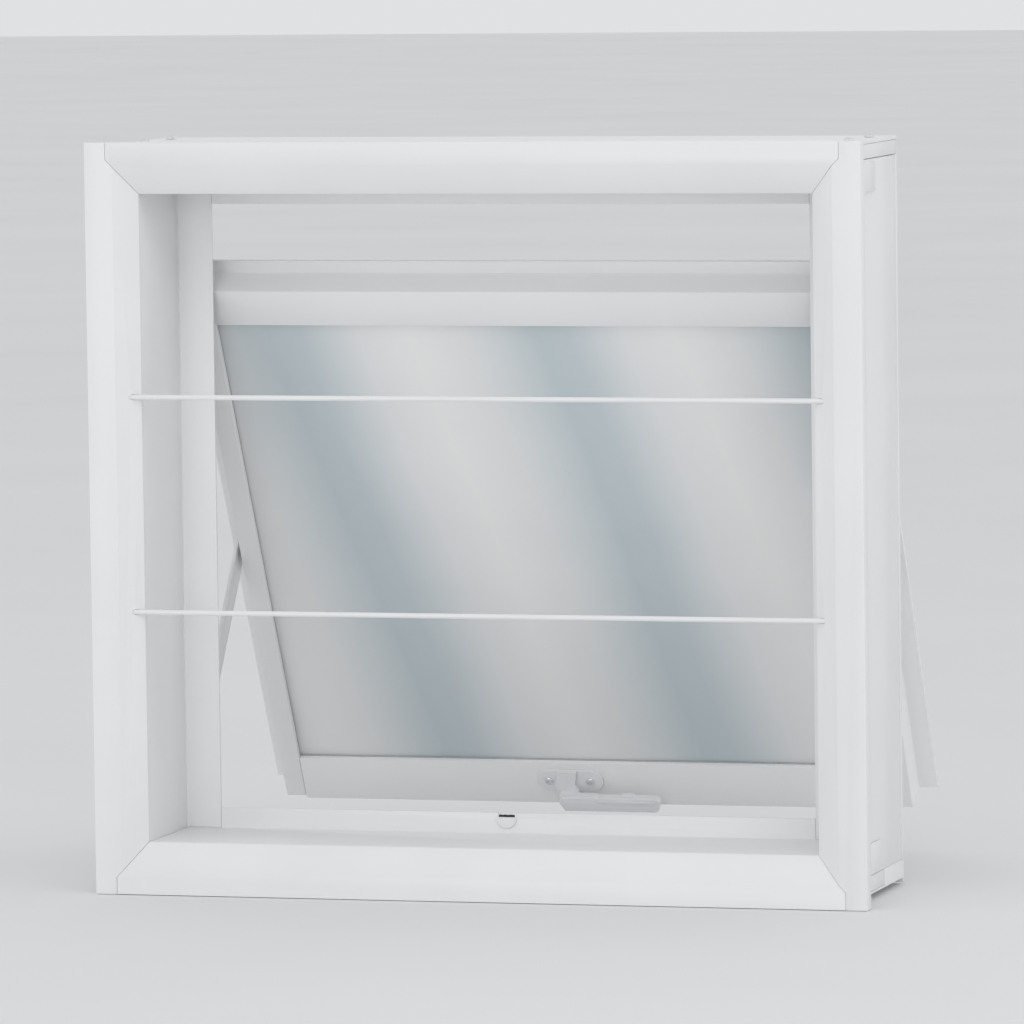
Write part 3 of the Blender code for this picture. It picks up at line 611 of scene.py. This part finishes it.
def slab(outline, back, front):
    """A closed plate with the given outline in millimetres, from back to front."""
    bm = bmesh.new()
    corners = [bm.verts.new((x * MM, y * MM, back * MM)) for x, y in outline]
    face = bm.faces.new(corners)
    raised = bmesh.ops.extrude_face_region(bm, geom=[face])
    moved = [v for v in raised["geom"] if isinstance(v, bmesh.types.BMVert)]
    bmesh.ops.translate(bm, verts=moved, vec=(0, 0, (front - back) * MM))
    bmesh.ops.recalc_face_normals(bm, faces=bm.faces)
    mesh = bpy.data.meshes.new("slab")
    bm.to_mesh(mesh)
    bm.free()
    return mesh


def round_run(cx, cy, radius, start, end, steps=10):
    """Points on an arc, in millimetres and degrees."""
    turns = [math.radians(start + (end - start) * i / steps) for i in range(steps + 1)]
    return [(cx + radius * math.cos(t), cy + radius * math.sin(t)) for t in turns]


def joined(base, *others):
    """The base mesh with the others added to it, as one closed mesh."""
    guides = []
    for mesh in (base, *others):
        guide = bpy.data.objects.new("guide", mesh)
        bpy.context.scene.collection.objects.link(guide)
        guides.append(guide)
    for tool in guides[1:]:
        step = guides[0].modifiers.new("join", "BOOLEAN")
        step.operation, step.solver, step.object = "UNION", "EXACT", tool
    graph = bpy.context.evaluated_depsgraph_get()
    done = bpy.data.meshes.new_from_object(guides[0].evaluated_get(graph))
    for guide in guides:
        bpy.data.objects.remove(guide, do_unlink=True)
    return done


# %% The lever
hub = [(-9.0, 12.2), (-13.4, -1.5), (-9.6, -13.0), (-5.8, -20.6), (8.4, -20.6), (8.5, -9.0),
       (5.4, -2.0), (8.4, 12.4)]
neck = [(-9.2, -9.6), (-5.7, -20.7), (8.2, -20.7), (8.2, -8.0), (-8.0, -8.0)]
arm = [(-8.0, -8.0), (-5.0, -20.0), (24, -20.0), (31, -11.6), (26, -8.6), (6.6, -7.8)]
rounded_end = round_run(79.5, -18.2, 4.8, 270, 350, 6)
grip = [(-5.4, -9.4), (-8.8, -14.4), (-4.0, -23.0), *rounded_end, (85.2, -12.4), (82.4, -9.7)]
bump = [(43.5, -12.0), (47, -9.2), (51, -7.8), (57, -7.4), (61, -8.6), (65, -12.0)]
bead = round_run(28.4, -12.3, 0.9, 90, 270, 6) + round_run(78.6, -12.6, 0.9, 270, 450, 6)
rib = [(77.8, -13.2), (81.4, -9.9), (82.6, -10.9), (79.4, -13.8)]
lever = joined(slab(hub, 3.6, 8.0), slab(neck, 4.6, 14.0), slab(arm, 9.3, 14.0),
               slab(grip, 9.3, 17.3), slab(bump, 9.6, 14.4), slab(bead, 15.0, 18.3),
               slab(rib, 15.0, 18.1))
lever = bevelled(lever, 0.4 * MM, segments=3)
lever.transform(RAIL_TO_ROW)
show("cast_lever", lever, LATCH_COAT_PAINTED_PALER, "latch_lever", "latch", "latch_lever")
print("lever faces", len(lever.polygons))

# %% Base plate, screws and pivot
PITCH, LOBE = 19.5, 11.5           # half the distance between the screws, and the end radius
BASE_BACK, BASE_FRONT = 0.3, 3.3
base = round_run(PITCH, 0, LOBE, -100, 100, 16) + round_run(-PITCH, 0, LOBE, 80, 280, 16)
plate = bevelled(slab(base, BASE_BACK, BASE_FRONT), 0.8 * MM, segments=3)
plate.transform(RAIL_TO_ROW)
show("pressed_latch_base", plate, LATCH_COAT_PAINTED_PALER, "sash", "latch", "latch_base")
towards_room = tuple(RAIL_TO_ROW.to_3x3() @ Vector((0, 0, 1)))
latch_places = [(tuple(RAIL_TO_ROW @ Vector((x * MM, 0, BASE_FRONT * MM))), towards_room)
                for x in (-PITCH, PITCH)]
latch_nodes = ["latch_screw_" + side for side in SIDES]
screws("latch_fixings", "sash", 3.9 * MM, 2.4 * MM, latch_places, latch_nodes)
dress("latch_pivot", "sash", LATCH_COAT_PAINTED_PALER, "latch", 0.3 * MM)

# %% [markdown]
# ## Stays, tracks and shoes
# These carry the sash: a nylon shoe slides in each steel track and a flat coated arm swings below
# it. They are plain strip and turned studs, so only their edges need breaking.

# %% Dress the stays
for side in SIDES:
    dress("track_" + side, "frame", STEEL, "steel", 0.35 * MM)
    dress("stay_plate_" + side, "frame", STEEL, "steel", 0.4 * MM)
    dress("stay_arm_" + side, "stay_arm_" + side, COAT, "coat", 0.5 * MM)
    dress("shoe_" + side, "shoe_" + side, NYLON, "nylon", 0.7 * MM)
    dress("shoe_pin_" + side, "sash", STEEL, "steel", 0.3 * MM)
    dress("stay_stud_" + side, "sash", STEEL, "steel", 0.4 * MM)

# %% [markdown]
# ## Floor, light and camera
# A white object on a pale floor needs light that falls off across it, or its profiles merge, but a
# strong lamp burns out the faces that look straight at it. So an even pale surround gives most of
# the light, and three weak soft lamps shape it: a key high on the room side, a fill low in front,
# and one well to the right. The left reveal, which none of them faces, stays a tone darker.


# %% Floor
def matt_floor():
    """A pale matt floor with a very slow drift of tone."""
    finish, bench, shader, place = start_finish("pale_floor")
    cloud = remap(bench, noise(bench, place, 1.5, 3.0), 0.3, 0.7, 0.0, 1.0)
    feed(bench, shader, Base_Color=mix_colours(bench, cloud, (0.80, 0.80, 0.805, 1),
                                               (0.83, 0.83, 0.835, 1)))
    shader.inputs["Roughness"].default_value = 0.9
    return finish


bm = bmesh.new()
bmesh.ops.create_grid(bm, x_segments=1, y_segments=1, size=30)
bmesh.ops.translate(bm, verts=bm.verts, vec=(0, 0, model_box[0].z - 0.5 * MM))
floor_mesh = bpy.data.meshes.new("floor")
bm.to_mesh(floor_mesh)
bm.free()
floor_mesh.materials.append(matt_floor())
floor = bpy.data.objects.new("floor", floor_mesh)
bpy.context.scene.collection.objects.link(floor)

# %% Lights
surround = bpy.data.worlds.new("surround")
surround.use_nodes = True
glow = surround.node_tree.nodes["Background"]
glow.inputs["Color"].default_value = (0.90, 0.91, 0.92, 1)
glow.inputs["Strength"].default_value = 0.83
bpy.context.scene.world = surround


def soft_light(name, size, power, place, aim):
    """A round lamp of the given width in metres and power in watts, turned towards its aim."""
    lamp = bpy.data.lights.new(name, "AREA")
    lamp.shape, lamp.size, lamp.energy = "DISK", size, power
    holder = bpy.data.objects.new(name, lamp)
    holder.location = place
    holder.rotation_euler = (Vector(aim) - Vector(place)).to_track_quat("-Z", "Y").to_euler()
    bpy.context.scene.collection.objects.link(holder)


soft_light("key", 2.4, 10, place=(0.9, -2.1, 3.2), aim=(0, 0, 0.3))
soft_light("fill", 1.2, 9, place=(-0.4, -3.4, 0.7), aim=(0, 0.1, 0.1))
soft_light("side", 2.0, 7, place=(3.0, -0.6, 1.4), aim=(0.1, 0, 0.3))

# %% Camera
TARGET = Vector((0.0216, -0.054, 0.3279))
TURN, RISE, ROLL = (math.radians(angle) for angle in (15.86, 4.59, -0.756))
AWAY, FOCAL_LENGTH, SENSOR = 7.324, 298.8, 36     # metres, then millimetres
back = Vector((math.sin(TURN) * math.cos(RISE), -math.cos(TURN) * math.cos(RISE), math.sin(RISE)))
right = (-back).cross(Vector((0, 0, 1))).normalized()
up = right.cross(-back)
right, up = (right * math.cos(ROLL) + up * math.sin(ROLL),
             up * math.cos(ROLL) - right * math.sin(ROLL))
lens = bpy.data.cameras.new("camera")
lens.lens, lens.sensor_width, lens.clip_end = FOCAL_LENGTH, SENSOR, 100
camera = bpy.data.objects.new("camera", lens)
facing_target = Matrix((right, up, back)).transposed().to_4x4()
camera.matrix_world = Matrix.Translation(TARGET + back * AWAY) @ facing_target
bpy.context.scene.collection.objects.link(camera)
bpy.context.scene.camera = camera
bpy.context.scene.view_settings.view_transform = "Standard"

# %% Sizes
print("model", [round(v, 4) for c in model_box for v in c])
